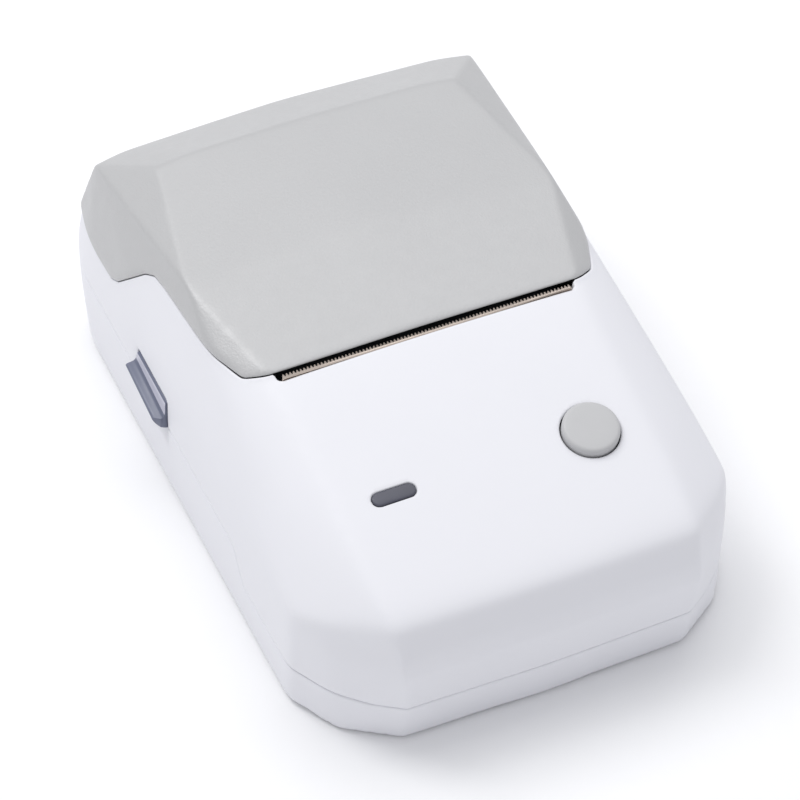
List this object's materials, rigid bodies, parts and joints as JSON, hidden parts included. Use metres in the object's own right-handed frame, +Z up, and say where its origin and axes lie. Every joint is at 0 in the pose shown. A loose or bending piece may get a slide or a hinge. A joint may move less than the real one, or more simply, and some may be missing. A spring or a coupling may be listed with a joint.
{
  "type": "thermal label printer",
  "caption": "Pocket thermal label printer with a rear-hinged grey lid, serrated tear bar, round power button, indicator lens and side release levers.",
  "frame": {"origin": "under the middle of the casing, on the surface that the rubber feet stand on", "axes": "+X to the user's right, -Y towards the button and tear slot (front), +Y towards the lid hinge (rear), +Z up"},
  "size_m": [0.086, 0.1276, 0.0468],
  "materials": {
    "casing_white": "moulded, very fine grain",
    "lid_grey": "moulded, fine grain",
    "liner_grey": "moulded, smooth",
    "button_grey": "moulded, smooth",
    "lens_dark": "translucent dark lens",
    "lever_blue": "moulded, satin",
    "frame_dark": "glass-filled, matt",
    "guide_grey": "moulded, smooth",
    "gear_cream": "acetal, smooth",
    "steel": "plain",
    "aluminium": "plain",
    "ceramic": "glazed strip on a ceramic plate",
    "rubber": "ground",
    "board_green": "solder mask",
    "battery_blue": "shrink wrap",
    "black_plastic": "moulded",
    "led_white": "clear-coated"
  },
  "bodies": {
    "body": {"lower_casing": "casing_white", "upper_casing": "casing_white", "tear_bar": "steel", "indicator_lens": "lens_dark", "button_board": "board_green", "tact_switch": "black_plastic", "status_led": "led_white", "main_board": "board_green", "driver_chip": "black_plastic", "battery_pack": "battery_blue", "usb_board": "board_green", "usb_socket": "steel", "usb_tongue": "black_plastic", "drive_frame": "frame_dark", "motor": "steel", "head_leaf_spring": "steel", "gap_sensor": "black_plastic", "roll_tray": "frame_dark", "guide_post": "frame_dark", "hinge_pin_left": "steel", "hinge_pin_right": "steel", "lever_pin_left": "steel", "lever_pin_right": "steel", "lever_spring_left": "steel", "lever_spring_right": "steel", "foot_front_left": "rubber", "foot_front_right": "rubber", "foot_rear_left": "rubber", "foot_rear_right": "rubber", "case_screw_front_left": "steel", "case_screw_front_right": "steel", "case_screw_rear_left": "steel", "case_screw_rear_right": "steel"},
    "lid": {"lid_shell": "lid_grey", "lid_frame": "liner_grey", "platen_bushing_left": "black_plastic", "platen_bushing_right": "black_plastic"},
    "platen": {"platen_shaft": "steel", "platen_roller": "rubber", "platen_gear": "gear_cream"},
    "latch_left": {"lever_left": "lever_blue"},
    "latch_right": {"lever_right": "lever_blue"},
    "button": {"power_button": "button_grey"},
    "head": {"print_head": "ceramic", "head_heat_sink": "aluminium"},
    "motor_drive": {"motor_pinion": "gear_cream"},
    "idler": {"idler_gear": "gear_cream"},
    "guide_left": {"roll_guide_left": "guide_grey", "guide_rack_left": "guide_grey"},
    "guide_right": {"roll_guide_right": "guide_grey", "guide_rack_right": "guide_grey"},
    "guide_drive": {"guide_pinion": "gear_cream"}
  },
  "joints": [
    {"name": "lid_hinge", "type": "hinge", "parent": "body", "child": "lid", "pos_m": [0, 0.0575, 0.028], "axis": [-1, 0, 0], "range_deg": [0, 95]},
    {"name": "platen_spin", "type": "hinge", "parent": "lid", "child": "platen", "pos_m": [0, -0.0035, 0.0325], "axis": [1, 0, 0], "continuous": true},
    {"name": "lever_left_squeeze", "type": "hinge", "parent": "body", "child": "latch_left", "pos_m": [-0.0394, 0.01535, 0.0207], "axis": [0, -1, 0], "range_deg": [0, 6.5], "stiffness_Nm_per_rad": 0.2, "springref_deg": -6.88},
    {"name": "lever_right_squeeze", "type": "hinge", "parent": "body", "child": "latch_right", "pos_m": [0.0394, 0.01535, 0.0207], "axis": [0, 1, 0], "range_deg": [0, 6.5], "stiffness_Nm_per_rad": 0.2, "springref_deg": -6.88},
    {"name": "power_button_press", "type": "slide", "parent": "body", "child": "button", "axis": [0, 0.2368, -0.9715], "range_m": [0, 0.0006], "stiffness_N_per_m": 400, "springref_m": -0.0012},
    {"name": "print_head_float", "type": "slide", "parent": "body", "child": "head", "axis": [0, -0.9205, -0.3907], "range_m": [0, 0.0005], "stiffness_N_per_m": 2000, "springref_m": -0.002},
    {"name": "motor_spin", "type": "hinge", "parent": "body", "child": "motor_drive", "pos_m": [0, -0.01055, 0.01649], "axis": [1, 0, 0], "continuous": true},
    {"name": "idler_spin", "type": "hinge", "parent": "body", "child": "idler", "pos_m": [0, -0.0046, 0.02256], "axis": [1, 0, 0], "continuous": true},
    {"name": "guide_left_slide", "type": "slide", "parent": "body", "child": "guide_left", "axis": [1, 0, 0], "range_m": [0, 0.017]},
    {"name": "guide_right_slide", "type": "slide", "parent": "body", "child": "guide_right", "axis": [-1, 0, 0], "range_m": [0, 0.017]},
    {"name": "guide_pinion_spin", "type": "hinge", "parent": "body", "child": "guide_drive", "pos_m": [0, 0.047, 0.0042], "axis": [0, 0, 1], "range_deg": [0, 203]}
  ],
  "couplings": [
    {"joint": "motor_spin", "follows": "platen_spin", "ratio": 1.6},
    {"joint": "idler_spin", "follows": "platen_spin", "ratio": -0.66667},
    {"joint": "guide_right_slide", "follows": "guide_left_slide", "ratio": 1},
    {"joint": "guide_pinion_spin", "follows": "guide_left_slide", "rad_per_m": 208.33}
  ]
}
